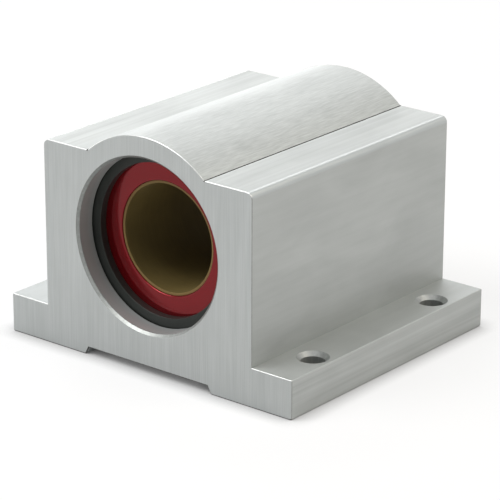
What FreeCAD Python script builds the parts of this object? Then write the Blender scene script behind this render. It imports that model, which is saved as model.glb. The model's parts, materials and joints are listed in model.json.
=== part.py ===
# Linear bearing block: a closed pillow block that carries a 25.4 mm (1 inch) shaft.
#
# One length of aluminium, with a cylindrical crown over the bore, square shoulders and
# a drilled flange on each side, is bored through along Y. A plain bearing sits in the
# middle of the bore: a red anodised shell with a thin low-friction liner bonded inside.
# A split retaining ring in a groove at each end keeps the bearing from sliding out.
#
# Frame: millimetres, +Z up, +Y along the shaft. The origin is the middle of the
# mounting face, so the feet stand on Z = 0 and the front end face is at -Y.
import FreeCAD, Part
import math
import os

INCH = 25.4

# Housing, driving dimensions
BASE_WIDTH = 3.25 * INCH
BLOCK_LENGTH = 2.8125 * INCH
SHAFT_HEIGHT = 1.1875 * INCH
CROWN_RADIUS = 1.0 * INCH
BODY_WIDTH = 2.375 * INCH
SHOULDER_HEIGHT = 1.9375 * INCH
FLANGE_THICKNESS = 9.3

# Relief channel under the base, between the two feet
CHANNEL_MOUTH_WIDTH = 37.1
CHANNEL_ROOF_WIDTH = 35.2
CHANNEL_DEPTH = 1.8

# Edges of the housing
SHOULDER_EDGE_RADIUS = 1.5
FLANGE_EDGE_RADIUS = 0.6
ROOT_RADIUS = 0.35
FOOT_EDGE_RADIUS = 0.45
END_EDGE_CHAMFER = 0.4
MOUTH_CHAMFER = 0.6

# Mounting holes in the flanges
HOLE_DIAMETER = 7 / 32 * INCH
HOLE_SPACING_X = 2.875 * INCH
HOLE_SPACING_Y = 1.75 * INCH
HOLE_TOP_CHAMFER = 0.97
HOLE_BOTTOM_CHAMFER = 0.3

# Bearing
SHAFT_BORE = 1.0 * INCH
SHELL_LENGTH = 2.25 * INCH
SHELL_DIAMETER = 1.5625 * INCH
SHELL_END_CHAMFER = 0.8
SHELL_EDGE_BREAK = 0.15
LINER_WALL = 0.6
LINER_RECESS = 0.4
LINER_LEAD_IN = 0.15

# Bore of the housing: a close seat for the shell, and a wider mouth at each end
SEAT_CLEARANCE = 0.025
MOUTH_DIAMETER = 40.44

# Retaining rings and their grooves
RING_THICKNESS = 5 / 64 * INCH
RING_INNER_DIAMETER = 36.0
RING_OUTER_DIAMETER = 42.4
RING_GAP = 7.0
RING_CORNER_RADIUS = 0.8
RING_PLAY = 0.3
GROOVE_CLEARANCE = 0.05
FRONT_GAP_DIRECTION = 30
REAR_GAP_DIRECTION = -90

HALF_BASE = BASE_WIDTH / 2
HALF_BODY = BODY_WIDTH / 2
HALF_LENGTH = BLOCK_LENGTH / 2
HALF_SHELL = SHELL_LENGTH / 2
SHOULDER_RISE = SHOULDER_HEIGHT - SHAFT_HEIGHT
VALLEY_X = math.sqrt(CROWN_RADIUS**2 - SHOULDER_RISE**2)
LINER_RADIUS = SHAFT_BORE / 2 + LINER_WALL
SEAT_RADIUS = SHELL_DIAMETER / 2
SHELL_RADIUS = SEAT_RADIUS - SEAT_CLEARANCE

ALONG_Y = FreeCAD.Vector(0, 1, 0)
SHAFT_CENTRE = FreeCAD.Vector(0, 0, SHAFT_HEIGHT)


def end_view(x, z, y=-HALF_LENGTH):
    """A point of the block's end view, seen along +Y."""
    return FreeCAD.Vector(x, y, z)


def polyline(points):
    """Straight edges that join the points in order."""
    return [Part.LineSegment(a, b).toShape() for a, b in zip(points, points[1:])]


def beside_shaft(radius, y):
    """A point of a section through the shaft axis."""
    return FreeCAD.Vector(radius, y, SHAFT_HEIGHT)


def turned(section_edges):
    """Turn a closed section, given as its edges in order, about the shaft axis."""
    face = Part.Face(Part.Wire(section_edges))
    return face.revolve(SHAFT_CENTRE, ALONG_Y, 360)


def closed_section(half_outline):
    """Edges of a section whose (radius, y) corners repeat mirrored at the other end."""
    mirrored = [(radius, -y) for radius, y in reversed(half_outline)]
    corners = [beside_shaft(radius, y) for radius, y in half_outline + mirrored]
    return polyline(corners + corners[:1])


def edges_along_block(solid, places):
    """The straight edges that run the length of the block at the given (x, z)."""
    found = []
    for edge in solid.Edges:
        start, end = edge.Vertexes[0].Point, edge.Vertexes[-1].Point
        if abs(abs(start.y - end.y) - BLOCK_LENGTH) > 0.01:
            continue
        if any(math.hypot(start.x - x, start.z - z) < 0.01 for x, z in places):
            found.append(edge)
    return found


def both_sides(places):
    """The same places on the right and on the left of the block."""
    return places + [(-x, z) for x, z in places]


def extruded_block():
    """The outer form: feet, flanges, shoulders and crown, with a relief channel."""
    right_side = [
        (CHANNEL_ROOF_WIDTH / 2, CHANNEL_DEPTH),
        (CHANNEL_MOUTH_WIDTH / 2, 0),
        (HALF_BASE, 0),
        (HALF_BASE, FLANGE_THICKNESS),
        (HALF_BODY, FLANGE_THICKNESS),
        (HALF_BODY, SHOULDER_HEIGHT),
        (VALLEY_X, SHOULDER_HEIGHT),
    ]
    left_side = [(-x, z) for x, z in reversed(right_side)]
    crown = Part.Arc(
        end_view(VALLEY_X, SHOULDER_HEIGHT),
        end_view(0, SHAFT_HEIGHT + CROWN_RADIUS),
        end_view(-VALLEY_X, SHOULDER_HEIGHT),
    ).toShape()
    right = polyline([end_view(x, z) for x, z in right_side])
    left = polyline([end_view(x, z) for x, z in left_side])
    roof = polyline([end_view(*left_side[-1]), end_view(*right_side[0])])
    outline = Part.Wire(right + [crown] + left + roof)
    block = Part.Face(outline).extrude(ALONG_Y * BLOCK_LENGTH)

    rounded = [
        (SHOULDER_EDGE_RADIUS, [(HALF_BODY, SHOULDER_HEIGHT)]),
        (FLANGE_EDGE_RADIUS, [(HALF_BASE, FLANGE_THICKNESS)]),
        (ROOT_RADIUS, [(HALF_BODY, FLANGE_THICKNESS), (VALLEY_X, SHOULDER_HEIGHT)]),
        (FOOT_EDGE_RADIUS, [(HALF_BASE, 0), (CHANNEL_MOUTH_WIDTH / 2, 0)]),
    ]
    for radius, places in rounded:
        block = block.makeFillet(radius, edges_along_block(block, both_sides(places)))
    return block.makeChamfer(END_EDGE_CHAMFER, end_outline_edges(block))


def end_outline_edges(block):
    """Every edge of the two end faces."""
    return [
        edge
        for edge in block.Edges
        if all(abs(abs(v.Point.y) - HALF_LENGTH) < 0.01 for v in edge.Vertexes)
    ]


def bore_cutter():
    """What the boring removes: chamfered mouths, ring grooves and the shell's seat."""
    mouth_radius = MOUTH_DIAMETER / 2
    groove_radius = RING_OUTER_DIAMETER / 2 + GROOVE_CLEARANCE
    groove_start = HALF_SHELL + RING_THICKNESS + RING_PLAY
    return turned(closed_section([
        (0, HALF_LENGTH),
        (mouth_radius + MOUTH_CHAMFER, HALF_LENGTH),
        (mouth_radius, HALF_LENGTH - MOUTH_CHAMFER),
        (mouth_radius, groove_start),
        (groove_radius, groove_start),
        (groove_radius, HALF_SHELL),
        (SEAT_RADIUS, HALF_SHELL),
    ]))


def hole_cutter(x, y):
    """A through hole with a wide chamfer on top and a small one underneath."""
    radius = HOLE_DIAMETER / 2
    top = FLANGE_THICKNESS
    half_section = [
        (0, -1),
        (radius + HOLE_BOTTOM_CHAMFER + 1, -1),
        (radius, HOLE_BOTTOM_CHAMFER),
        (radius, top - HOLE_TOP_CHAMFER),
        (radius + HOLE_TOP_CHAMFER + 1, top + 1),
        (0, top + 1),
    ]
    points = [FreeCAD.Vector(x + across, y, z) for across, z in half_section]
    face = Part.Face(Part.Wire(polyline(points + points[:1])))
    return face.revolve(FreeCAD.Vector(x, y, 0), FreeCAD.Vector(0, 0, 1), 360)


def housing():
    """The bored and drilled aluminium block."""
    block = extruded_block().cut(bore_cutter())
    for side in (-1, 1):
        for end in (-1, 1):
            x = side * HOLE_SPACING_X / 2
            y = end * HOLE_SPACING_Y / 2
            block = block.cut(hole_cutter(x, y))
    return block


def bearing_shell():
    """The red anodised sleeve, chamfered outside, with its inner edges broken."""
    inner_break = LINER_RADIUS + SHELL_EDGE_BREAK
    outer_break = SHELL_RADIUS - SHELL_END_CHAMFER
    half_outline = [
        (LINER_RADIUS, HALF_SHELL - SHELL_EDGE_BREAK),
        (inner_break, HALF_SHELL),
        (outer_break, HALF_SHELL),
        (SHELL_RADIUS, HALF_SHELL - SHELL_END_CHAMFER),
    ]
    return turned(closed_section(half_outline))


def bearing_liner():
    """The thin liner that the shaft runs in, set back a little at both ends."""
    half_length = HALF_SHELL - LINER_RECESS
    bore_radius = SHAFT_BORE / 2
    half_outline = [
        (bore_radius, half_length - LINER_LEAD_IN),
        (bore_radius + LINER_LEAD_IN, half_length),
        (LINER_RADIUS, half_length),
    ]
    return turned(closed_section(half_outline))


def is_ring_corner(edge):
    """Whether an edge of the split ring is one of the four corners beside its gap."""
    ends = [vertex.Point for vertex in edge.Vertexes]
    spans_thickness = abs(abs(ends[0].y - ends[-1].y) - RING_THICKNESS) < 0.001
    return spans_thickness and all(point.x > 0 for point in ends)


def retaining_ring(y_start, gap_direction):
    """A flat split ring. Its gap, with rounded corners, faces gap_direction degrees."""
    outer = RING_OUTER_DIAMETER / 2
    inner = RING_INNER_DIAMETER / 2
    half_gap = RING_GAP / 2

    def at(radius, side):
        return end_view(math.sqrt(radius**2 - half_gap**2), SHAFT_HEIGHT + side * half_gap, y_start)

    far_side = [end_view(-radius, SHAFT_HEIGHT, y_start) for radius in (outer, inner)]
    outline = Part.Wire([
        Part.Arc(at(outer, 1), far_side[0], at(outer, -1)).toShape(),
        Part.LineSegment(at(outer, -1), at(inner, -1)).toShape(),
        Part.Arc(at(inner, -1), far_side[1], at(inner, 1)).toShape(),
        Part.LineSegment(at(inner, 1), at(outer, 1)).toShape(),
    ])
    ring = Part.Face(outline).extrude(ALONG_Y * RING_THICKNESS)
    corners = [edge for edge in ring.Edges if is_ring_corner(edge)]
    ring = ring.makeFillet(RING_CORNER_RADIUS, corners)
    ring.rotate(SHAFT_CENTRE, ALONG_Y, -gap_direction)
    return ring


def main():
    """Build every piece and write it to its own file."""
    pieces = {
        "housing": housing(),
        "bearing_shell": bearing_shell(),
        "bearing_liner": bearing_liner(),
        "front_retaining_ring": retaining_ring(
            -HALF_SHELL - RING_THICKNESS, FRONT_GAP_DIRECTION
        ),
        "rear_retaining_ring": retaining_ring(HALF_SHELL, REAR_GAP_DIRECTION),
    }
    os.makedirs("parts", exist_ok=True)
    for name, shape in pieces.items():
        solid = shape.Solids[0]
        solid.exportStep(f"parts/{name}.step")
        print(f"{name}: {len(shape.Solids)} solid, {solid.Volume / 1000:.2f} cm3")


main()
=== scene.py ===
"""Looks of a linear bearing block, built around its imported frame.

A bored and drilled aluminium housing carries a plain bearing: a red anodised
shell with a thin olive-gold liner bonded inside it.  A split retaining ring in a
groove at each end keeps the bearing in its seat.

Everything is in metres, +Z up, with the shaft along Y and the feet on Z = 0.
"""

from __future__ import annotations

import json
import logging
import math
from collections.abc import Iterable, Sequence
from dataclasses import dataclass, field, replace
from enum import Enum, IntEnum
from typing import Any

import bmesh
import bpy
from mathutils import Matrix, Vector

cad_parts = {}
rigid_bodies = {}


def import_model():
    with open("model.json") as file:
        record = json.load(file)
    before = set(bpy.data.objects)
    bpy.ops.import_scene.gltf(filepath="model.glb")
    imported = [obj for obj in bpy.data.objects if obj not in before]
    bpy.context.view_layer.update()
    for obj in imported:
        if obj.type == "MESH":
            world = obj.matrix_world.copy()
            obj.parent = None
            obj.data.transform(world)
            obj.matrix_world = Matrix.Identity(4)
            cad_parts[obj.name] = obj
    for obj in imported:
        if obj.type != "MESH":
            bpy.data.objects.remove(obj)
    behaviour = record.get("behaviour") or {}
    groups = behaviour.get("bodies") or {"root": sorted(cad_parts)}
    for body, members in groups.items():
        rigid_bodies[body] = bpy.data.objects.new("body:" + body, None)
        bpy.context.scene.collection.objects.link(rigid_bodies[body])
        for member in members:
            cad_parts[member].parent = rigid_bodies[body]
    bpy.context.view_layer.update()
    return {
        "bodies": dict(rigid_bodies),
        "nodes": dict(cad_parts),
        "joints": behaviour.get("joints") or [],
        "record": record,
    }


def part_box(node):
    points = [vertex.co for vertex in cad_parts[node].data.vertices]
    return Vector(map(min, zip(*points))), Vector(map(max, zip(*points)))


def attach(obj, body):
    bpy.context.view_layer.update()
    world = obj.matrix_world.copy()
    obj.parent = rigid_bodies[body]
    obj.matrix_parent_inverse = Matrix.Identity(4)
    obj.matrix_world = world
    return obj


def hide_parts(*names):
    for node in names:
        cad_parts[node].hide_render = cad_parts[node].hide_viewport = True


LOG = logging.getLogger("bearing_block")

MM = 0.001
ROOT = "root"
SHARP_ANGLE = math.radians(32)
WELD_DISTANCE = 0.001 * MM
LEAST_STEP = 4 * WELD_DISTANCE

NOISE_ROUGHNESS = 0.55
LINE_SPAN = (0.25, 0.75)
CLOUD_SPAN = (0.28, 0.72)
PATCH_SPAN = (0.3, 0.7)

INDEX_TOLERANCE = 0.1
END_TOLERANCE = 0.0001
FILLET_POINTS = 6

Colour = tuple[float, float, float]
Corner = tuple[float, float, float]
Span = tuple[float, float]
Loop = Sequence[Any]
Feeds = dict[str | int, Any]
Socket = bpy.types.NodeSocket
Material = bpy.types.Material
Object = bpy.types.Object


# ---- node trees


class Graph:
    """A shader or geometry node tree while it is being put together."""

    def __init__(self, tree: bpy.types.NodeTree) -> None:
        """Start on an emptied tree."""
        self.tree = tree
        self.tree.nodes.clear()

    def add(self, kind: str, feeds: Feeds | None = None, **settings: Any) -> Any:
        """Add one node.

        Args:
            kind: The node's type.
            feeds: What goes into its inputs, by name or number.
            **settings: Its own properties.

        Returns:
            The new node.
        """
        node = self.tree.nodes.new(kind)
        for key, value in settings.items():
            setattr(node, key, value)
        for key, value in (feeds or {}).items():
            self.feed(node.inputs[key], value)
        return node

    def feed(self, socket: Socket, value: Any) -> None:
        """Link an output to an input, or set the input's own value.

        Args:
            socket: The input.
            value: A constant, or the output that drives it.
        """
        if isinstance(value, Socket):
            self.tree.links.new(value, socket)
        else:
            socket.default_value = value

    def first(self, kind: str, feeds: Feeds | None = None, **settings: Any) -> Socket:
        """Add one node, as add() does, and return its first output."""
        return self.add(kind, feeds, **settings).outputs[0]

    def maths(self, operation: str, *operands: Any) -> Socket:
        """Add one arithmetic node that works on numbers or sockets."""
        return self.first("ShaderNodeMath", dict(enumerate(operands)), operation=operation)

    def remap(self, value: Socket, span: Span, result: Span) -> Socket:
        """Stretch a value from one range to another and clamp it there."""
        names = ("Value", "From Min", "From Max", "To Min", "To Max")
        return self.first("ShaderNodeMapRange", dict(zip(names, (value, *span, *result))), clamp=True)

    def noise(self, vector: Socket, detail: float, warp: float = 0.0) -> Socket:
        """Add noise of about 0 to 1, whose grain is one unit of the coordinates given."""
        feeds = {"Vector": vector, "Scale": 1.0, "Detail": detail, "Distortion": warp}
        return self.first("ShaderNodeTexNoise", {**feeds, "Roughness": NOISE_ROUGHNESS})

    def looked_at(self) -> Socket:
        """Tell the rays that are seen from those that only light.

        Returns:
            1 for what is seen directly, mirrored or through glass, and 0 for the rest.
        """
        path = self.add("ShaderNodeLightPath").outputs
        seen = self.maths("MAXIMUM", path["Is Camera Ray"], path["Is Glossy Ray"])
        return self.maths("MAXIMUM", seen, path["Is Transmission Ray"])

    def tint(self, amount: Socket, dark: Colour, light: Colour) -> Socket:
        """Blend from the dark colour, where the amount is 0, to the light one, where it is 1."""
        feeds = {0: amount, 6: (*dark, 1.0), 7: (*light, 1.0)}
        return self.add("ShaderNodeMix", feeds, data_type="RGBA").outputs[2]

    def scaled(self, vector: Socket, sizes: tuple[float, float, float], tilt: float = 0.0) -> Socket:
        """Divide coordinates by the lengths that become one unit, after a tilt about X."""
        feeds = {"Vector": vector, "Rotation": (tilt, 0.0, 0.0), "Scale": tuple(1 / size for size in sizes)}
        return self.first("ShaderNodeMapping", feeds)

    def turned(self, place: Socket, shaft_height: float, pitch: float) -> Socket:
        """Lay coordinates in rings round the shaft axis.

        Args:
            place: The piece's own coordinates.
            shaft_height: The height of the axis.
            pitch: The width of one ring.

        Returns:
            Coordinates that change fast outwards and slowly round the axis.
        """
        centred = self.first("ShaderNodeMapping", {"Vector": place, "Location": (0, 0, -shaft_height)})
        across, along, up = self.add("ShaderNodeSeparateXYZ", {0: centred}).outputs
        squares = [self.maths("MULTIPLY", part, part) for part in (across, up)]
        reach = self.maths("SQRT", self.maths("ADD", *squares))
        return self.first("ShaderNodeCombineXYZ", {
            0: self.maths("DIVIDE", reach, pitch),
            1: self.maths("DIVIDE", along, pitch),
            2: self.maths("COSINE", self.maths("ARCTAN2", up, across)),
        })


# ---- finishes


class Grain(Enum):
    """How a surface was last worked, which is the way its fine marks run."""

    LENGTHWISE = "drawn along the shaft"
    UPRIGHT = "brushed from top to bottom"
    TURNED = "cut round the shaft axis"


def shaded(colour: Colour, factor: float) -> Colour:
    """Return a colour made darker or lighter by a factor."""
    return (colour[0] * factor, colour[1] * factor, colour[2] * factor)


@dataclass(frozen=True)
class Finish:
    """What every finish has: a name, a colour and how it answers to light."""

    name: str
    colour: Colour
    metallic: float
    roughness: float
    specular: float = 0.5
    coat: float = 0.0
    coat_roughness: float = 0.05
    shaft_height: float = 0.0
    gloss_change: float = 0.0
    bump_depth: float = 0.004 * MM

    def start(self) -> tuple[Graph, Material, Any, Socket]:
        """Open the material.

        Returns:
            The graph, the material, its surface shader node and its coordinates.
        """
        material = bpy.data.materials.new(self.name)
        material.use_nodes = True
        graph = Graph(material.node_tree)
        shader = graph.add("ShaderNodeBsdfPrincipled", {
            "Base Color": (*self.colour, 1.0),
            "Metallic": self.metallic,
            "Roughness": self.roughness,
            "Specular IOR Level": self.specular,
            "Coat Weight": self.coat,
            "Coat Roughness": self.coat_roughness,
        })
        graph.add("ShaderNodeOutputMaterial", {"Surface": shader.outputs["BSDF"]})
        return graph, material, shader, graph.add("ShaderNodeTexCoord").outputs["Object"]

    def vary(self, graph: Graph, shader: Any, amount: Socket, contrast: float) -> None:
        """Make the colour darker and lighter by up to the contrast, as the amount goes from 0 to 1."""
        dark, light = shaded(self.colour, 1 - contrast), shaded(self.colour, 1 + contrast)
        graph.feed(shader.inputs["Base Color"], graph.tint(amount, dark, light))

    def dull(self, graph: Graph, shader: Any, pattern: Socket) -> None:
        """Let a pattern make the surface a little rougher and smoother."""
        change = graph.remap(pattern, PATCH_SPAN, (-self.gloss_change, self.gloss_change))
        graph.feed(shader.inputs["Roughness"], graph.maths("ADD", change, self.roughness))

    def engrave(self, graph: Graph, shader: Any, pattern: Socket) -> None:
        """Let a pattern stand in fine relief."""
        feeds = {"Strength": 1.0, "Distance": self.bump_depth, "Height": pattern}
        graph.feed(shader.inputs["Normal"], graph.first("ShaderNodeBump", feeds))


@dataclass(frozen=True)
class BrushedAluminium(Finish):
    """Satin aluminium with fine brush lines, broader streaks and faint clouding."""

    metallic: float = 0.5
    roughness: float = 0.5
    grain: Grain = Grain.LENGTHWISE
    line_width: float = 0.26 * MM
    line_length: float = 6.0 * MM
    line_contrast: float = 0.035
    streak_width: float = 1.6 * MM
    streak_length: float = 30.0 * MM
    streak_contrast: float = 0.03
    cloud_size: tuple[float, float, float] = (13 * MM, 26 * MM, 11 * MM)
    cloud_tilt: float = math.radians(-14)
    cloud_warp: float = 0.7
    cloud_contrast: float = 0.07
    detail: float = 2.5
    gloss_change: float = 0.05

    def marks(self, graph: Graph, place: Socket, width: float, length: float) -> Socket:
        """Draw marks of one width and length along the grain.

        Args:
            graph: The material's graph.
            place: The piece's coordinates.
            width: The width of a mark.
            length: Its length.

        Returns:
            The pattern, about 0 to 1.
        """
        if self.grain is Grain.TURNED:
            spot = graph.turned(place, self.shaft_height, width)
        elif self.grain is Grain.UPRIGHT:
            spot = graph.scaled(place, (width, width, length))
        else:
            spot = graph.scaled(place, (width, length, width))
        return graph.noise(spot, self.detail)

    def make(self) -> Material:
        """Build the material.

        Returns:
            The finished material.
        """
        graph, material, shader, place = self.start()
        lines = self.marks(graph, place, self.line_width, self.line_length)
        streaks = self.marks(graph, place, self.streak_width, self.streak_length)
        spots = graph.scaled(place, self.cloud_size, self.cloud_tilt)
        clouds = graph.noise(spots, self.detail, self.cloud_warp)
        contrast = self.line_contrast + self.streak_contrast + self.cloud_contrast
        line, streak, cloud = (
            graph.remap(pattern, span, (0.0, share / contrast))
            for pattern, span, share in (
                (lines, LINE_SPAN, self.line_contrast),
                (streaks, LINE_SPAN, self.streak_contrast),
                (clouds, CLOUD_SPAN, self.cloud_contrast),
            )
        )
        mixed = graph.maths("ADD", graph.maths("ADD", line, streak), cloud)
        self.vary(graph, shader, mixed, contrast)
        self.dull(graph, shader, lines)
        self.engrave(graph, shader, lines)
        return material


@dataclass(frozen=True)
class TurnedColour(Finish):
    """A coloured or coated surface that still shows faint turning marks."""

    mark_pitch: float = 0.16 * MM
    mark_detail: float = 2.0
    cloud_size: float = 5.0 * MM
    cloud_detail: float = 3.0
    contrast: float = 0.06
    gloss_change: float = 0.03
    bump_depth: float = 0.0015 * MM

    def make(self) -> Material:
        """Build the material.

        Returns:
            The finished material.
        """
        graph, material, shader, place = self.start()
        marks = graph.noise(graph.turned(place, self.shaft_height, self.mark_pitch), self.mark_detail)
        clouds = graph.noise(graph.scaled(place, (self.cloud_size,) * 3), self.cloud_detail)
        mixed = graph.maths("MULTIPLY", graph.maths("ADD", marks, clouds), 0.5)
        self.vary(graph, shader, graph.remap(mixed, PATCH_SPAN, (0.0, 1.0)), self.contrast)
        self.dull(graph, shader, clouds)
        self.engrave(graph, shader, marks)
        return material


@dataclass(frozen=True)
class BrokenEdge(Finish):
    """The narrow broken edge of machined aluminium, rubbed in small patches."""

    patch_size: float = 0.7 * MM
    patch_detail: float = 3.0
    contrast: float = 0.12

    def make(self) -> Material:
        """Build the material.

        Returns:
            The finished material.
        """
        graph, material, shader, place = self.start()
        patches = graph.noise(graph.scaled(place, (self.patch_size,) * 3), self.patch_detail)
        self.vary(graph, shader, graph.remap(patches, PATCH_SPAN, (0.0, 1.0)), self.contrast)
        self.engrave(graph, shader, patches)
        return material


@dataclass(frozen=True)
class StudioFloor:
    """A pale floor, white to the eye and in reflections, that keeps soft shadows, and whose glow is darkened
    near the block as painted contact shadow.
    """

    name: str = "pale_floor"
    colour: Colour = (0.96, 0.96, 0.96)
    glow_share: float = 0.76
    # how far the painted contact shadow reaches, seen directly and in reflections
    painted_shadow_reach: float = 5.0 * MM
    mirrored_painted_shadow_reach: float = 30.0 * MM
    painted_shadow_samples: int = 6

    def make(self) -> Material:
        """Build the material.

        Returns:
            The finished material.
        """
        material = bpy.data.materials.new(self.name)
        material.use_nodes = True
        material.cycles.emission_sampling = "NONE"
        graph = Graph(material.node_tree)
        # painted contact shadow: ambient occlusion darkens the glow near the block, over a longer reach
        # where the floor is mirrored
        mirrored = graph.add("ShaderNodeLightPath").outputs["Is Glossy Ray"]
        reach = graph.remap(mirrored, (0.0, 1.0), (self.painted_shadow_reach, self.mirrored_painted_shadow_reach))
        samples = self.painted_shadow_samples
        painted_contact_shadow = graph.first("ShaderNodeAmbientOcclusion", {"Distance": reach}, samples=samples)
        mix = graph.first("ShaderNodeMixShader", {
            0: graph.maths("MULTIPLY", graph.looked_at(), self.glow_share),
            1: graph.first("ShaderNodeBsdfDiffuse", {"Color": (*self.colour, 1.0)}),
            2: graph.first("ShaderNodeEmission", {"Color": painted_contact_shadow, "Strength": 1.0}),
        })
        graph.add("ShaderNodeOutputMaterial", {"Surface": mix})
        return material


# ---- mesh helpers


def around(loop: Loop) -> list[tuple[Any, Any]]:
    """Pair each item of a closed loop with the one after it."""
    return list(zip(loop, [*loop[1:], loop[0]]))


def arc_through(centre: Vector, start: Vector, end: Vector, steps: int) -> list[Vector]:
    """Sample the shorter arc between two points.

    Args:
        centre: The arc's centre.
        start: Its first point.
        end: Its last point.
        steps: How many straight pieces stand for it.

    Returns:
        steps + 1 points.
    """
    first = math.atan2(start.y - centre.y, start.x - centre.x)
    sweep = math.atan2(end.y - centre.y, end.x - centre.x) - first
    sweep = (sweep + math.pi) % (2 * math.pi) - math.pi
    reach = (start - centre).length
    angles = [first + sweep * k / steps for k in range(steps + 1)]
    return [centre + reach * Vector((math.cos(a), math.sin(a))) for a in angles]


def rounded_path(corners: Sequence[Corner], steps: int, closed: bool) -> list[Vector]:
    """Replace the corners of a path with tangent arcs, each of its own radius.

    Args:
        corners: The corners as (first coordinate, second coordinate, radius or 0).
        steps: How many straight pieces stand for each arc.
        closed: Whether the last corner joins the first.

    Returns:
        The path's points.
    """
    places = [Vector((a, b)) for a, b, _ in corners]
    path: list[Vector] = []
    for k, (corner, (_, _, radius)) in enumerate(zip(places, corners)):
        if radius <= 0 or not closed and k in (0, len(corners) - 1):
            path.append(corner)
            continue
        inbound = (places[k - 1] - corner).normalized()
        outbound = (places[(k + 1) % len(places)] - corner).normalized()
        half = inbound.angle(outbound) / 2
        centre = corner + (inbound + outbound).normalized() * radius / math.sin(half)
        reach = radius / math.tan(half)
        path += arc_through(centre, corner + inbound * reach, corner + outbound * reach, steps)
    return path


def offset_inwards(outline: Sequence[Vector], distance: float) -> list[Vector]:
    """Move a closed outline, which runs with its material on the left, into the material.

    Args:
        outline: The outline's points.
        distance: How far each side moves.

    Returns:
        The moved points, one for each point of the outline.
    """
    moved = []
    for k, here in enumerate(outline):
        inbound = (here - outline[k - 1]).normalized()
        outbound = (outline[(k + 1) % len(outline)] - here).normalized()
        left_in, left_out = (Vector((-way.y, way.x)) for way in (inbound, outbound))
        middle = (left_in + left_out).normalized()
        moved.append(here + middle * distance / middle.dot(left_in))
    return moved


class Draft:
    """A mesh while it is being built."""

    def __init__(self) -> None:
        """Start empty."""
        self.mesh = bmesh.new()

    def loop(self, points: Iterable[Vector]) -> list[bmesh.types.BMVert]:
        """Add the points of one loop and return them as vertices."""
        return [self.mesh.verts.new(point) for point in points]

    def skin(self, first: Loop, second: Loop, finish: int | list[int] = 0, skip: Sequence[int] = ()) -> None:
        """Join two closed loops of equal length with four-sided faces.

        Args:
            first: One loop.
            second: The other.
            finish: The material slot, one for all faces or one for each.
            skip: Sides that stay open, by the number of their first vertex.
        """
        for k, (side, across) in enumerate(zip(around(first), around(second))):
            if k not in skip:
                face = self.mesh.faces.new((*side, *reversed(across)))
                face.material_index = finish if isinstance(finish, int) else finish[k]

    def circles(self, path: Iterable[Vector], shaft_height: float, count: int) -> list[Loop]:
        """Lay one circle round the shaft axis for each point of a path.

        Args:
            path: Points whose x is the radius and whose y is the place along the shaft.
            shaft_height: The height of the axis.
            count: How many points each circle has.

        Returns:
            The vertices of each circle, in order.
        """
        turns = [(math.cos(t), math.sin(t)) for t in (2 * math.pi * k / count for k in range(count))]
        return [
            self.loop(Vector((p.x * across, p.y, shaft_height + p.x * up)) for across, up in turns)
            for p in path
        ]

    def edges_of(self, loop: Loop) -> list[bmesh.types.BMEdge]:
        """Return the edges of a closed loop, adding any that are missing."""
        return [self.mesh.edges.get(pair) or self.mesh.edges.new(pair) for pair in around(loop)]

    def fill(self, loops: Iterable[Loop], finish: int) -> None:
        """Fill a flat region bounded by loops, the inner ones being holes.

        Args:
            loops: The outer loop and any inner ones.
            finish: The material slot.
        """
        edges = [edge for loop in loops for edge in self.edges_of(loop)]
        made = bmesh.ops.triangle_fill(self.mesh, use_beauty=True, use_dissolve=False, edges=edges)
        for item in made["geom"]:
            if isinstance(item, bmesh.types.BMFace):
                item.material_index = finish

    def absorb(self, piece: Object, finish: int) -> list[Loop]:
        """Take in another object's mesh and delete that object.

        Args:
            piece: The object.
            finish: The material slot of its faces.

        Returns:
            Its open loops.
        """
        known = set(self.mesh.faces)
        self.mesh.from_mesh(piece.data)
        added = [face for face in self.mesh.faces if face not in known]
        for face in added:
            face.material_index = finish
        rims = {edge for face in added for edge in face.edges if edge.is_boundary}
        bpy.data.objects.remove(piece)
        return chained(rims)

    def finish(self, name: str, slots: int = 1) -> Object:
        """Weld, orient and shade the mesh and put it into an object.

        Args:
            name: The object's name.
            slots: How many empty material slots it has.

        Returns:
            The object.
        """
        bmesh.ops.remove_doubles(self.mesh, verts=self.mesh.verts, dist=WELD_DISTANCE)
        bmesh.ops.recalc_face_normals(self.mesh, faces=self.mesh.faces)
        open_edges = sum(1 for edge in self.mesh.edges if len(edge.link_faces) != 2)
        if open_edges:
            LOG.warning("%s has %d open edges", name, open_edges)
        mesh = bpy.data.meshes.new(name)
        for _ in range(slots):
            mesh.materials.append(None)
        self.mesh.to_mesh(mesh)
        self.mesh.free()
        piece = add_object(name, mesh)
        shade(piece)
        return piece


def chained(edges: set[Any]) -> list[Loop]:
    """Sort loose edges into closed loops.

    Args:
        edges: Edges that meet in twos.

    Returns:
        The vertices of each loop, in order.
    """
    loops, left = [], set(edges)
    while left:
        edge = left.pop()
        start, here = edge.verts
        loop = [start, here]
        while here is not start:
            edge = next(e for e in here.link_edges if e in left)
            left.discard(edge)
            here = edge.other_vert(here)
            loop.append(here)
        loops.append(loop[:-1])
    return loops


def add_object(name: str, data: Any) -> Object:
    """Put an object with the given mesh, light or camera into the scene and return it."""
    bpy.context.scene.collection.objects.link(added := bpy.data.objects.new(name, data))
    return added


def shade(piece: Object) -> None:
    """Shade a piece smooth, apart from the edges that turn sharply, and keep its flat faces flat.

    Args:
        piece: The object.
    """
    draft = bmesh.new()
    draft.from_mesh(piece.data)
    for face in draft.faces:
        face.smooth = True
    for edge in draft.edges:
        edge.smooth = edge.calc_face_angle(0.0) < SHARP_ANGLE
    draft.to_mesh(piece.data)
    draft.free()
    piece.modifiers.new("flat faces stay flat", "WEIGHTED_NORMAL").keep_sharp = True
    settle(piece)


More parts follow.
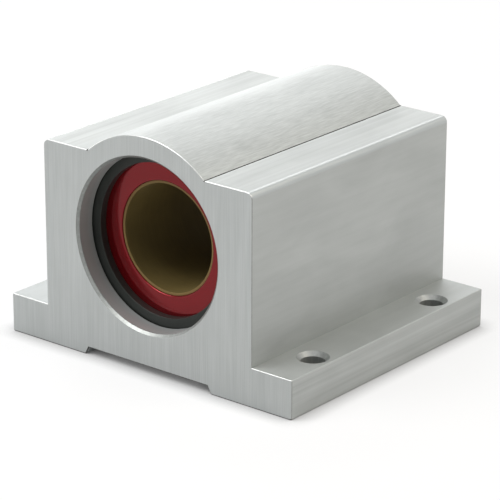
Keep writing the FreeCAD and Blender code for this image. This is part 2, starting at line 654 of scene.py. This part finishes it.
def settle(piece: Object) -> None:
    """Make what an object's modifiers give its plain mesh, and drop the modifiers.

    Args:
        piece: The object.
    """
    bpy.context.view_layer.update()
    graph = bpy.context.evaluated_depsgraph_get()
    made = bpy.data.meshes.new_from_object(piece.evaluated_get(graph), depsgraph=graph)
    piece.modifiers.clear()
    piece.data = made
    made.name = piece.name


def mirrored_section(half: Sequence[Corner]) -> list[Corner]:
    """Complete a section whose (radius, y, rounding) corners repeat at the other end."""
    return [*half, *[(radius, -y, rounding) for radius, y, rounding in reversed(half)]]


@dataclass
class TurnedPiece:
    """A ring-shaped piece turned about the shaft axis from a closed section."""

    name: str
    shaft_height: float
    half_section: list[Corner]
    points_round: int = 192
    rounding_steps: int = 4

    def build(self) -> Object:
        """Turn the section.

        Returns:
            The finished object, not yet dressed.
        """
        draft = Draft()
        path = rounded_path(mirrored_section(self.half_section), self.rounding_steps, closed=True)
        loops = draft.circles(path, self.shaft_height, self.points_round)
        for first, second in around(loops):
            draft.skin(first, second)
        return draft.finish(self.name)


@dataclass(frozen=True)
class Part:
    """A finished piece, the node of the frame that it stands for and its material slot."""

    piece: Object
    node: str
    slot: str

    def keep(self) -> None:
        """Let the piece ride on the frame in the node's place."""
        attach(self.piece, ROOT)
        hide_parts(self.node)
        faces = len(self.piece.data.polygons)
        LOG.info("%s stands for %s with %d faces", self.piece.name, self.node, faces)


# ---- geometry node trees


class Recipe:
    """A geometry node tree with named inputs, and the way to run it."""

    def __init__(self, name: str, numbers: Sequence[str], others: dict[str, str]) -> None:
        """Open the tree.

        Args:
            name: The tree's name.
            numbers: The names of the inputs that are plain numbers.
            others: The kind of each other named input, apart from the material.
        """
        self.tree = bpy.data.node_groups.new(name, "GeometryNodeTree")
        self.graph = Graph(self.tree)
        kinds = {**dict.fromkeys(numbers, "Float"), **others, "Material": "Material"}
        for label, kind in kinds.items():
            self.tree.interface.new_socket(name=label, in_out="INPUT", socket_type=f"NodeSocket{kind}")
        self.tree.interface.new_socket(name="Geometry", in_out="OUTPUT", socket_type="NodeSocketGeometry")
        self.inputs = self.graph.add("NodeGroupInput").outputs

    def step(self, kind: str, feeds: Feeds | None = None, **settings: Any) -> Socket:
        """Add one geometry node, named without its prefix, and return its first output."""
        return self.graph.first(f"GeometryNode{kind}", feeds, **settings)

    def threaded(self, points: Socket, axes: dict[str, Socket]) -> Socket:
        """Put the points of a line at new places and make it a curve.

        Args:
            points: The line of points.
            axes: The new X, Y or Z of each point; 0 where none is given.

        Returns:
            The curve.
        """
        spot = self.graph.first("ShaderNodeCombineXYZ", axes)
        placed = self.step("SetPosition", {"Geometry": points, "Position": spot})
        return self.step("MeshToCurve", {0: placed})

    def close(self, geometry: Socket) -> None:
        """End the tree: instances made real, material set.

        Args:
            geometry: The finished geometry.
        """
        real = self.step("RealizeInstances", {"Geometry": geometry})
        coated = self.step("SetMaterial", {"Geometry": real, "Material": self.inputs["Material"]})
        self.graph.add("NodeGroupOutput", {0: coated})

    def run(self, name: str, values: dict[str, Any]) -> Object:
        """Evaluate the tree once.

        Args:
            name: The new object's name.
            values: What each named input is set to.

        Returns:
            An object with the plain mesh that the tree makes.
        """
        piece = add_object(name, bpy.data.meshes.new(name))
        modifier = piece.modifiers.new(self.tree.name, "NODES")
        modifier.node_group = self.tree
        for item in self.tree.interface.items_tree:
            if item.in_out == "INPUT":
                modifier[item.identifier] = values[item.name]
        settle(piece)
        return piece


def split_ring_recipe() -> Recipe:
    """Make the tree of a flat split ring with rounded corners beside its gap.

    Returns:
        The recipe.
    """
    sizes = ("Inner Radius", "Outer Radius", "Thickness", "Gap Width", "Corner Radius", "Gap Direction")
    recipe = Recipe("split_ring", sizes, {"Arc Pieces": "Int", "Seat": "Vector"})
    given, maths, step = recipe.inputs, recipe.graph.maths, recipe.step
    pieces = given["Arc Pieces"]
    last = maths("ADD", maths("MULTIPLY", pieces, 2.0), 1.0)
    index = step("InputIndex")
    on_inside = maths("GREATER_THAN", index, pieces)

    def pick(outside: Any, inside: Any) -> Socket:
        """Choose the value of the outer or the inner arc."""
        return recipe.graph.first("ShaderNodeMix", {"Factor": on_inside, "A": outside, "B": inside})

    back = maths("DIVIDE", maths("SUBTRACT", last, index), pieces)
    along = pick(maths("DIVIDE", index, pieces), back)
    reach = pick(given["Outer Radius"], given["Inner Radius"])
    start = maths("ARCSINE", maths("DIVIDE", maths("MULTIPLY", given["Gap Width"], 0.5), reach))
    sweep = maths("SUBTRACT", 2 * math.pi, maths("MULTIPLY", start, 2.0))
    angle = maths("ADD", start, maths("MULTIPLY", sweep, along))
    across, up = (maths("MULTIPLY", reach, maths(name, angle)) for name in ("COSINE", "SINE"))
    chain = step("MeshLine", {"Count": maths("ADD", last, 1.0)})
    curve = recipe.threaded(chain, {"X": across, "Y": up})
    from_end = maths("MINIMUM", along, maths("SUBTRACT", 1.0, along))
    is_corner = maths("LESS_THAN", from_end, END_TOLERANCE)
    rounded = step("FilletCurve", {
        "Curve": step("SetSplineCyclic", {"Geometry": curve, "Cyclic": True}),
        "Radius": maths("MULTIPLY", is_corner, given["Corner Radius"]),
        "Count": FILLET_POINTS,
        "Limit Radius": True,
    }, mode="POLY")
    face = step("FillCurve", {"Curve": rounded}, mode="NGONS")
    rise = {"Mesh": face, "Offset Scale": given["Thickness"], "Individual": False}
    both = recipe.graph.add("GeometryNodeJoinGeometry")
    recipe.graph.feed(both.inputs[0], step("ExtrudeMesh", rise, mode="FACES"))
    recipe.graph.feed(both.inputs[0], step("FlipFaces", {"Mesh": face}))
    whole = step("MergeByDistance", {"Geometry": both.outputs[0], "Distance": WELD_DISTANCE})
    facing = recipe.graph.first("ShaderNodeCombineXYZ", {2: given["Gap Direction"]})
    upright = (math.radians(90), 0.0, 0.0)
    turned = step("Transform", {"Geometry": whole, "Rotation": facing})
    recipe.close(step("Transform", {"Geometry": turned, "Translation": given["Seat"], "Rotation": upright}))
    return recipe


def drilled_holes_recipe() -> Recipe:
    """Make the tree of the walls of four through holes on a rectangle.

    Returns:
        The recipe.
    """
    spacing, chamfers = ("Spacing X", "Spacing Y"), ("Top Chamfer", "Bottom Chamfer")
    sizes = (*spacing, "Hole Radius", *chamfers, "Plate Thickness")
    recipe = Recipe("drilled_holes", sizes, {"Points Round": "Int"})
    given, maths, step = recipe.inputs, recipe.graph.maths, recipe.step
    index = step("InputIndex")

    def at_step(number: int, value: Any) -> Socket:
        """Return the value at one point of the hole's axis and 0 at the others."""
        return maths("MULTIPLY", maths("COMPARE", index, float(number), INDEX_TOLERANCE), value)

    top, bottom = (given[name] for name in chamfers)
    plate = given["Plate Thickness"]
    shoulder = at_step(2, maths("SUBTRACT", plate, top))
    height = maths("ADD", maths("ADD", at_step(3, plate), shoulder), at_step(1, bottom))
    flare = maths("ADD", at_step(3, top), at_step(0, bottom))
    wall = step("CurveToMesh", {
        "Curve": step("SetCurveRadius", {
            "Curve": recipe.threaded(step("MeshLine", {"Count": 4}), {"Z": height}),
            "Radius": maths("ADD", given["Hole Radius"], flare),
        }),
        "Profile Curve": step("CurvePrimitiveCircle", {"Resolution": given["Points Round"], "Radius": 1.0}),
        "Scale": step("InputRadius"),
    })
    grid = {"Size X": given["Spacing X"], "Size Y": given["Spacing Y"], "Vertices X": 2, "Vertices Y": 2}
    recipe.close(step("InstanceOnPoints", {"Points": step("MeshGrid", grid), "Instance": wall}))
    return recipe


# ---- the housing


class Face(IntEnum):
    """The material slots of the block."""

    FLANK = 0
    END = 1
    BORED = 2
    # drilled hole walls, darker than the block as painted shade
    DRILLED = 3
    CROWN = 4
    DRAWN = 5
    ROUNDED = 6
    BRIGHT_EDGE = 7
    # painted shade: a darker copy of the aluminium on the outer rows of rounded end edges that face sideways
    PAINTED_SHADE_EDGE = 8
    # near-black painted shade in the valley reliefs and on rounded end edges that face down
    PAINTED_DEEP_SHADE = 9
    # the bore's mouth chamfer and its roundings, darkened as painted shade
    PAINTED_SHADE_LIP = 10


@dataclass
class Housing:
    """The aluminium block: feet, flanges, shoulders, crown, stepped bore and holes."""

    shaft_height: float
    half_width: float
    half_length: float
    hole_spacing: tuple[float, float]
    hole_radius: float
    shell_radius: float
    half_shell: float
    ring_radius: float
    ring_thickness: float

    crown_radius: float = 25.4 * MM
    half_body: float = 30.1625 * MM
    shoulder_height: float = 49.2125 * MM
    flange_thickness: float = 9.3 * MM
    channel_half_mouth: float = 18.55 * MM
    channel_half_roof: float = 17.6 * MM
    channel_depth: float = 1.8 * MM
    shoulder_round: float = 1.5 * MM
    flange_round: float = 0.22 * MM
    foot_round: float = 0.45 * MM
    end_round: float = 0.22 * MM
    relief_width: float = 0.4 * MM
    relief_depth: float = 0.35 * MM
    mouth_radius: float = 20.22 * MM
    mouth_chamfer: float = 0.6 * MM
    inner_round: float = 0.14 * MM
    seat_clearance: float = 0.025 * MM
    groove_depth_clearance: float = 0.05 * MM
    groove_width_clearance: float = 0.3 * MM
    hole_top_chamfer: float = 0.97 * MM
    hole_bottom_chamfer: float = 0.3 * MM
    points_round: int = 256
    hole_points: int = 64
    crown_steps: int = 96
    rounding_steps: int = 5
    # the end-edge rows that keep the end finish, and how far a side must look up or down to be bright or
    # take painted shade
    plain_rows: int = 2
    upward: float = 0.35
    # painted shade: how much darker the hole walls are than the block
    painted_hole_shade: float = 0.8
    aluminium: Colour = (0.45, 0.47, 0.465)

    def right_side(self) -> list[Vector]:
        """Lay out the right half of the end view, from the channel up to the valley.

        Returns:
            The points.
        """
        rise = self.shoulder_height - self.shaft_height
        valley = math.sqrt(self.crown_radius**2 - rise**2)
        corners = [
            (0.0, self.channel_depth, 0.0),
            (self.channel_half_roof, self.channel_depth, 0.0),
            (self.channel_half_mouth, 0.0, self.foot_round),
            (self.half_width, 0.0, self.foot_round),
            (self.half_width, self.flange_thickness, self.flange_round),
            (self.half_body, self.flange_thickness, 0.0),
            (self.half_body, self.shoulder_height, self.shoulder_round),
            (valley, self.shoulder_height, 0.0),
        ]
        return rounded_path(corners, self.rounding_steps, closed=False)[1:]

    def outline(self) -> list[Vector]:
        """Close the end view with the crown and the left half.

        Returns:
            The outline, with its material on the left and the valleys still plain.
        """
        right = self.right_side()
        left = [Vector((-p.x, p.y)) for p in reversed(right)]
        axis = Vector((0.0, self.shaft_height))
        crown = arc_through(axis, right[-1], left[0], self.crown_steps)
        return right + crown[1:-1] + left

    def relieved(self, plain: Sequence[Vector], depth: float) -> list[Vector]:
        """Cut the narrow relief beside the crown into both valleys.

        Args:
            plain: The outline, or one inset from it, with plain valleys.
            depth: The relief's depth here.

        Returns:
            The points with both reliefs.
        """
        right = len(self.right_side()) - 1
        left = right + self.crown_steps
        points: list[Vector] = []
        for k, here in enumerate(plain):
            if k not in (right, left):
                points.append(here)
                continue
            beyond, low = here.x + math.copysign(self.relief_width, here.x), here.y - depth
            relief = [*map(Vector, ((beyond, here.y), (beyond, low), (here.x, low))), here]
            points += relief if k == right else reversed(relief)
        return points

    def drilled_sides(self, outline: Sequence[Vector]) -> list[int]:
        """Find the flat sides that the holes come through.

        Args:
            outline: The end view.

        Returns:
            The number of each such side's first point.
        """
        hole_x = self.hole_spacing[0] / 2
        return [
            k for k, (here, after) in enumerate(around(outline))
            if abs(here.y - after.y) < WELD_DISTANCE
            and any(min(here.x, after.x) < x < max(here.x, after.x) for x in (-hole_x, hole_x))
        ]

    def side_finishes(self, outline: Sequence[Vector], row: int | None) -> list[int]:
        """Choose the slot of each side: edges that face up are bright; those that face down, the reliefs and
        the outer rows of those that face sideways are darkened as painted shade.

        Args:
            outline: The end view with its reliefs.
            row: The row of the rounded end edge, from the end face, or None between.

        Returns:
            One material slot for each side.
        """
        bottom = self.shoulder_height - self.relief_depth
        slots = []
        for here, after in around(outline):
            upward = (here.x - after.x) / (after - here).length
            # the valley reliefs are darkened as painted shade
            if abs(min(here.y, after.y) - bottom) < WELD_DISTANCE:
                slots.append(Face.PAINTED_DEEP_SHADE)
            elif row is None:
                slots.append(self.long_finish(here, after, upward))
            elif upward > self.upward:
                slots.append(Face.BRIGHT_EDGE)
            elif upward > -self.upward:
                # the outer rows that face sideways are darkened as painted shade
                slots.append(Face.END if row < self.plain_rows else Face.PAINTED_SHADE_EDGE)
            else:
                # edges that face down get near-black painted shade
                slots.append(Face.PAINTED_DEEP_SHADE)
        return slots

    def long_finish(self, here: Vector, after: Vector, upward: float) -> Face:
        """Choose the slot of one side between the rounded ends.

        Args:
            here: Where the side starts.
            after: Where it ends.
            upward: How far it looks up, from -1 to 1.

        Returns:
            The slot.
        """
        low, high = sorted((here.y, after.y))
        if high > self.shoulder_height + WELD_DISTANCE:
            return Face.CROWN
        if low > self.shoulder_height - WELD_DISTANCE:
            return Face.DRAWN
        if low > self.shoulder_height - self.shoulder_round - WELD_DISTANCE:
            return Face.ROUNDED
        if high < self.flange_thickness and abs(upward) < self.upward:
            return Face.DRAWN
        return Face.FLANK

    def bore_section(self) -> list[Vector]:
        """Lay out the stepped bore from one end face to the other.

        Returns:
            Points whose x is the radius and whose y is the place along the shaft.
        """
        seat_radius = self.shell_radius + self.seat_clearance
        groove_radius = self.ring_radius + self.groove_depth_clearance
        groove_start = self.half_shell + self.ring_thickness + self.groove_width_clearance
        rim = self.mouth_radius + self.mouth_chamfer
        half = [
            (rim + self.inner_round, -self.half_length, 0.0),
            (rim, -self.half_length, 0.0),
            (self.mouth_radius, -self.half_length + self.mouth_chamfer, self.inner_round),
            (self.mouth_radius, -groove_start, self.inner_round),
            (groove_radius, -groove_start, 0.0),
            (groove_radius, -self.half_shell, 0.0),
            (seat_radius, -self.half_shell, self.inner_round),
        ]
        return rounded_path(mirrored_section(half), self.rounding_steps, closed=False)[1:-1]

    def end_loops(self, draft: Draft, outline: Sequence[Vector]) -> list[Loop]:
        """Lay the outline along the block, drawn in a little at the rounded ends.

        Args:
            draft: The mesh that takes the loops.
            outline: The end view with plain valleys.

        Returns:
            The loops from the front face to the rear face.
        """
        turns = [math.pi / 2 * k / self.rounding_steps for k in range(self.rounding_steps + 1)]
        loops = []
        for side, order in ((-1, reversed(turns)), (1, turns)):
            for turn in order:
                inset = self.end_round * (1 - math.cos(turn))
                y = side * (self.half_length - self.end_round * (1 - math.sin(turn)))
                depth = self.relief_depth if turn == 0 else LEAST_STEP
                flat = self.relieved(offset_inwards(outline, inset), depth)
                loops.append(draft.loop(Vector((p.x, y, p.y)) for p in flat))
        return loops

    def hole_walls(self, finish: Material) -> Object:
        """Make the walls of the four mounting holes.

        Args:
            finish: Their material.

        Returns:
            The walls, still an object of their own.
        """
        return drilled_holes_recipe().run("hole_walls", {
            "Spacing X": self.hole_spacing[0],
            "Spacing Y": self.hole_spacing[1],
            "Hole Radius": self.hole_radius,
            "Top Chamfer": self.hole_top_chamfer,
            "Bottom Chamfer": self.hole_bottom_chamfer,
            "Plate Thickness": self.flange_thickness,
            "Points Round": self.hole_points,
            "Material": finish,
        })

    def build(self) -> list[Part]:
        """Build and dress the block round its holes and its bore.

        Returns:
            The block.
        """
        finishes = self.finishes()
        draft = Draft()
        rims = draft.absorb(self.hole_walls(finishes[Face.DRILLED]), Face.DRILLED)
        plain = self.outline()
        outline = self.relieved(plain, self.relief_depth)
        loops = self.end_loops(draft, plain)
        middle = self.rounding_steps
        drilled = self.drilled_sides(outline)
        for k, (first, second) in enumerate(zip(loops, loops[1:])):
            row = None if k == middle else min(k, 2 * middle - k)
            draft.skin(first, second, self.side_finishes(outline, row), skip=drilled if row is None else ())
        near, far = loops[middle], loops[middle + 1]
        for k in drilled:
            nxt = (k + 1) % len(outline)
            border = [near[k], near[nxt], far[nxt], far[k]]
            inside = [rim for rim in rims if self.lies_in(rim, border)]
            draft.fill([border, *inside], Face.FLANK)
        bore = draft.circles(self.bore_section(), self.shaft_height, self.points_round)
        rows = len(bore) - 1
        for k, (first, second) in enumerate(zip(bore, bore[1:])):
            # the rows at each mouth take the lip finish, darkened as painted shade
            is_lip = min(k, rows - 1 - k) <= self.rounding_steps
            draft.skin(first, second, Face.PAINTED_SHADE_LIP if is_lip else Face.BORED)
        for end in (0, -1):
            draft.fill([loops[end], bore[end]], Face.END)
        block = draft.finish("housing_block", len(Face))
        self.dress(block, finishes)
        return [Part(block, "housing", "housing_aluminium")]

    def finishes(self) -> dict[Face, Material]:
        """Make the finish of each kind of face.

        Returns:
            The material of each slot.
        """
        plain = BrushedAluminium("milled_aluminium", self.aluminium, shaft_height=self.shaft_height)
        looks = {
            Face.FLANK: plain,
            Face.END: replace(
                plain, name="brushed_end_aluminium", grain=Grain.UPRIGHT, line_width=0.24 * MM,
                line_length=16.0 * MM, line_contrast=0.1, streak_length=40.0 * MM, cloud_contrast=0.02,
            ),
            Face.CROWN: replace(
                plain, name="brushed_crown", line_width=0.2 * MM, line_length=4.0 * MM,
                line_contrast=0.18, cloud_contrast=0.05,
            ),
            Face.DRAWN: replace(
                plain, name="drawn_aluminium", line_length=24.0 * MM,
                streak_width=1.2 * MM, streak_length=80.0 * MM, streak_contrast=0.13,
            ),
            Face.BORED: replace(
                plain, name="bored_aluminium", grain=Grain.TURNED, line_width=0.12 * MM, cloud_contrast=0.03
            ),
            # the hole walls keep their drilling marks and are darkened as painted shade
            Face.DRILLED: replace(
                plain, name="drilled_aluminium_painted_shade", colour=shaded(self.aluminium, self.painted_hole_shade),
                grain=Grain.UPRIGHT, line_width=0.6 * MM, line_contrast=0.2, cloud_contrast=0.02,
            ),
            Face.BRIGHT_EDGE: BrokenEdge("burnished_edge", (0.46, 0.47, 0.46), metallic=1.0, roughness=0.3),
            Face.ROUNDED: replace(
                plain, name="smooth_rounding", metallic=0.85, roughness=0.36, line_length=24.0 * MM
            ),
            # turned lip, darker than the bored wall as painted shade
            Face.PAINTED_SHADE_LIP: BrokenEdge("turned_lip_painted_shade", (0.26, 0.27, 0.26), metallic=0.9, roughness=0.46),
            # darker copy of the aluminium as painted shade on the outer rows of edges that face sideways
            Face.PAINTED_SHADE_EDGE: BrokenEdge("painted_shade_edge", (0.3, 0.31, 0.3), metallic=0.5, roughness=0.5),
            # near-black painted shade for the reliefs and the edges that face down
            Face.PAINTED_DEEP_SHADE: BrokenEdge("painted_deep_shade_edge", (0.09, 0.09, 0.085), metallic=0.5, roughness=0.6),
        }
        return {face: look.make() for face, look in looks.items()}

    def dress(self, block: Object, finishes: dict[Face, Material]) -> None:
        """Put the finishes into the block's slots."""
        for face, finish in finishes.items():
            block.data.materials[face] = finish

    @staticmethod
    def lies_in(rim: Loop, border: Loop) -> bool:
        """Tell whether a hole's rim lies in the flat side with the given border."""
        spot, (low, high) = rim[0].co, sorted((border[0].co.x, border[1].co.x))
        return abs(spot.z - border[0].co.z) < WELD_DISTANCE and low < spot.x < high


# ---- bearing and rings


@dataclass
class PlainBearing:
    """The red anodised shell and the olive-gold liner inside it."""

    shaft_height: float
    shaft_radius: float
    shell_radius: float
    half_shell: float
    liner_radius: float
    half_liner: float
    shell_chamfer: float = 0.8 * MM
    edge_round: float = 0.15 * MM
    bond_round: float = 0.02 * MM
    bore_round: float = 0.36 * MM
    squareness: float = 0.5

    def build(self) -> list[Part]:
        """Build and dress the shell and the liner.

        Returns:
            The two pieces.
        """
        shell = TurnedPiece("anodised_shell", self.shaft_height, [
            (self.liner_radius, self.half_shell, self.bore_round),
            (self.shell_radius - self.shell_chamfer, self.half_shell, self.edge_round),
            (self.shell_radius, self.half_shell - self.shell_chamfer, self.edge_round),
        ]).build()
        liner = TurnedPiece("bonded_liner", self.shaft_height, [
            (self.shaft_radius, self.half_liner, self.edge_round),
            (self.liner_radius, self.half_liner, self.bond_round),
        ]).build()
        self.dress(shell, liner)
        return [
            Part(shell, "bearing_shell", "shell_red_anodised"),
            Part(liner, "bearing_liner", "liner"),
        ]

    def dress(self, shell: Object, liner: Object) -> None:
        """Give the shell its glossy red and the liner its dry olive gold, made lighter on the liner's end
        faces as painted highlight.

        Args:
            shell: The shell's object.
            liner: The liner's object.
        """
        shell.data.materials[0] = TurnedColour(
            name="red_anodised",
            colour=(0.175, 0.003, 0.006),
            metallic=0.6,
            roughness=0.16,
            specular=0.0,
            coat=0.42,
            shaft_height=self.shaft_height,
        ).make()
        gold = TurnedColour(
            name="olive_gold_liner",
            colour=(0.158, 0.117, 0.041),
            metallic=0.1,
            roughness=0.6,
            specular=0.15,
            contrast=0.14,
            shaft_height=self.shaft_height,
        )
        liner.data.materials[0] = gold.make()
        # painted highlight: the liner's end faces get a lighter gold than its bore
        cut = replace(gold, name="liner_end_painted_highlight", colour=(0.21, 0.142, 0.055))
        liner.data.materials.append(cut.make())
        # faces that look along the shaft, the liner's ends, take the lighter painted highlight
        for face in liner.data.polygons:
            face.material_index = int(abs(face.normal.y) > self.squareness)


@dataclass
class RetainingRings:
    """The split ring at each end, which keeps the bearing in its seat."""

    shaft_height: float
    inner_radius: float = 18.0 * MM
    gap_width: float = 7.0 * MM
    corner_radius: float = 0.8 * MM
    gap_directions: tuple[tuple[str, float], ...] = (
        ("front_retaining_ring", 30.0),
        ("rear_retaining_ring", -90.0),
    )
    edge_break: float = 0.12 * MM
    break_segments: int = 3
    break_angle: float = math.radians(60)
    arc_pieces: int = 120

    def build(self) -> list[Part]:
        """Build and dress the two rings.

        Returns:
            The two pieces.
        """
        recipe, steel = split_ring_recipe(), self.dress()
        parts = []
        for node, gap_direction in self.gap_directions:
            low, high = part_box(node)
            ring = recipe.run(f"{node}_spring", {
                "Inner Radius": self.inner_radius,
                "Outer Radius": high.z - self.shaft_height,
                "Thickness": high.y - low.y,
                "Gap Width": self.gap_width,
                "Corner Radius": self.corner_radius,
                "Gap Direction": math.radians(gap_direction),
                "Arc Pieces": self.arc_pieces,
                "Seat": Vector((0.0, high.y, self.shaft_height)),
                "Material": steel,
            })
            self.soften(ring)
            parts.append(Part(ring, node, "ring_steel"))
        return parts

    def soften(self, ring: Object) -> None:
        """Round the sharp edges of a ring a little.

        Args:
            ring: The ring's object.
        """
        bevel = ring.modifiers.new("edge break", "BEVEL")
        bevel.width = self.edge_break
        bevel.segments = self.break_segments
        bevel.limit_method = "ANGLE"
        bevel.angle_limit = self.break_angle
        settle(ring)
        shade(ring)

    def dress(self) -> Material:
        """Make the rings' black phosphated steel.

        Returns:
            The material.
        """
        return TurnedColour(
            name="black_phosphate_steel",
            colour=(0.028, 0.031, 0.028),
            metallic=0.35,
            roughness=0.45,
            specular=0.3,
            contrast=0.15,
            shaft_height=self.shaft_height,
        ).make()


# ---- the studio


@dataclass(frozen=True)
class Lamp:
    """One soft rectangular lamp, aimed at the block."""

    name: str
    azimuth: float
    elevation: float
    size: float
    power: float
    colour: Colour = (1.0, 1.0, 1.0)
    distance: float = 1.3

    def build(self, target: Vector) -> None:
        """Hang the lamp.

        Args:
            target: The point that it faces.
        """
        light = bpy.data.lights.new(self.name, "AREA")
        light.shape = "SQUARE"
        light.size = self.size
        light.energy = self.power
        light.color = self.colour
        lamp = add_object(self.name, light)
        lamp.location = target + direction(self.azimuth, self.elevation) * self.distance
        lamp.rotation_euler = (target - lamp.location).to_track_quat("-Z", "Y").to_euler()
        lamp.visible_camera = False


def direction(azimuth: float, elevation: float) -> Vector:
    """Point away from the block.

    Args:
        azimuth: Degrees round from the front, which is at -Y, towards +X.
        elevation: Degrees above the floor.

    Returns:
        The unit vector.
    """
    around, up = math.radians(azimuth), math.radians(elevation)
    flat = math.cos(up)
    return Vector((math.sin(around) * flat, -math.cos(around) * flat, math.sin(up)))


@dataclass
class Studio:
    """The floor, the lamps, the surrounding light and the camera."""

    azimuth: float = 39.12
    elevation: float = 20.13
    roll: float = 0.12
    distance: float = 634.5 * MM
    target: Vector = field(default_factory=lambda: Vector((-3.6 * MM, 5.2 * MM, 17.1 * MM)))
    lens: float = 195.5
    sensor_width: float = 36.0
    clip_start: float = 0.01
    floor_size: float = 4.0
    floor_drop: float = 0.02 * MM
    sky_colour: Colour = (0.05, 0.05, 0.05)
    lamps: tuple[Lamp, ...] = (
        Lamp("front_key", -46.0, 48.0, 0.6, 7.2),
        Lamp("upper_key", -25.0, 58.0, 0.6, 5.4),
        Lamp("left_strip", -95.0, 9.0, 0.6, 4.5),
        Lamp("overhead_softbox", 60.0, 80.0, 0.8, 2.0),
        Lamp("right_softbox", 112.0, 46.0, 0.7, 6.1, (1.0, 0.92, 0.78)),
        Lamp("rear_left_softbox", 238.0, 45.0, 0.5, 2.9),
        Lamp("rear_softbox", 203.0, 38.0, 0.4, 1.15),
        Lamp("low_rear_strip", 222.0, 7.0, 0.3, 0.9),
    )

    def camera(self) -> None:
        """Stand the camera and make it the scene's own."""
        data = bpy.data.cameras.new("camera")
        data.lens = self.lens
        data.sensor_width = self.sensor_width
        data.clip_start = self.clip_start
        camera = add_object("camera", data)
        outward = direction(self.azimuth, self.elevation)
        turn = (-outward).to_track_quat("-Z", "Y").to_matrix().to_4x4()
        spin = Matrix.Rotation(math.radians(self.roll), 4, "Z")
        camera.matrix_world = Matrix.Translation(self.target + outward * self.distance) @ turn @ spin
        bpy.context.scene.camera = camera

    def floor(self) -> None:
        """Lay the floor."""
        half = self.floor_size / 2
        mesh = bpy.data.meshes.new("floor")
        corners = [(-half, -half), (half, -half), (half, half), (-half, half)]
        mesh.from_pydata([(x, y, -self.floor_drop) for x, y in corners], [], [(0, 1, 2, 3)])
        mesh.materials.append(StudioFloor().make())
        add_object("floor", mesh)

    def surroundings(self) -> None:
        """Fill the studio with even, soft light."""
        world = bpy.data.worlds.new("studio_air")
        bpy.context.scene.world = world
        world.use_nodes = True
        graph = Graph(world.node_tree)
        air, white = (
            graph.first("ShaderNodeBackground", {"Color": (*colour, 1.0), "Strength": 1.0})
            for colour in (self.sky_colour, (1.0, 1.0, 1.0))
        )
        mix = graph.first("ShaderNodeMixShader", {0: graph.looked_at(), 1: air, 2: white})
        graph.add("ShaderNodeOutputWorld", {"Surface": mix})

    def build(self) -> None:
        """Set the whole studio up."""
        self.camera()
        self.surroundings()
        self.floor()
        for lamp in self.lamps:
            lamp.build(self.target)
        bpy.context.scene.view_settings.view_transform = "Standard"


# ---- assembly


@dataclass
class BearingBlock:
    """The whole product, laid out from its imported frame."""

    frame: dict[str, Any]

    def __post_init__(self) -> None:
        """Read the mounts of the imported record."""
        mounts = {mount["name"]: mount for mount in self.frame["record"]["mounts"]}
        self.shaft_height = mounts["shaft_bore"]["pos_m"][2]
        self.shaft_radius = mounts["shaft_bore"]["dims"]["r_mm"] * MM
        self.bolts = mounts["base_bolts"]["dims"]

    def housing(self) -> Housing:
        """Size the block by the frame.

        Returns:
            The block's builder.
        """
        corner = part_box("housing")[1]
        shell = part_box("bearing_shell")[1]
        low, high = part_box("front_retaining_ring")
        return Housing(
            shaft_height=self.shaft_height,
            half_width=corner.x,
            half_length=corner.y,
            hole_spacing=(self.bolts["spacing_x_mm"] * MM, self.bolts["spacing_y_mm"] * MM),
            hole_radius=self.bolts["hole_r_mm"] * MM,
            shell_radius=shell.x,
            half_shell=shell.y,
            ring_radius=high.z - self.shaft_height,
            ring_thickness=high.y - low.y,
        )

    def bearing(self) -> PlainBearing:
        """Size the bearing by the frame.

        Returns:
            The bearing's builder.
        """
        shell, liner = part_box("bearing_shell")[1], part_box("bearing_liner")[1]
        return PlainBearing(
            shaft_height=self.shaft_height,
            shaft_radius=self.shaft_radius,
            shell_radius=shell.x,
            half_shell=shell.y,
            liner_radius=liner.x,
            half_liner=liner.y,
        )

    def rings(self) -> RetainingRings:
        """Return the retaining rings."""
        return RetainingRings(shaft_height=self.shaft_height)


def main() -> None:
    """Build the bearing block and its studio."""
    logging.basicConfig(level=logging.INFO, format="%(name)s: %(message)s")
    for leftover in list(bpy.data.objects):
        bpy.data.objects.remove(leftover)
    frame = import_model()
    Studio().build()
    block = BearingBlock(frame)
    for maker in (block.housing(), block.bearing(), block.rings()):
        for part in maker.build():
            part.keep()


if __name__ == "__main__":
    main()
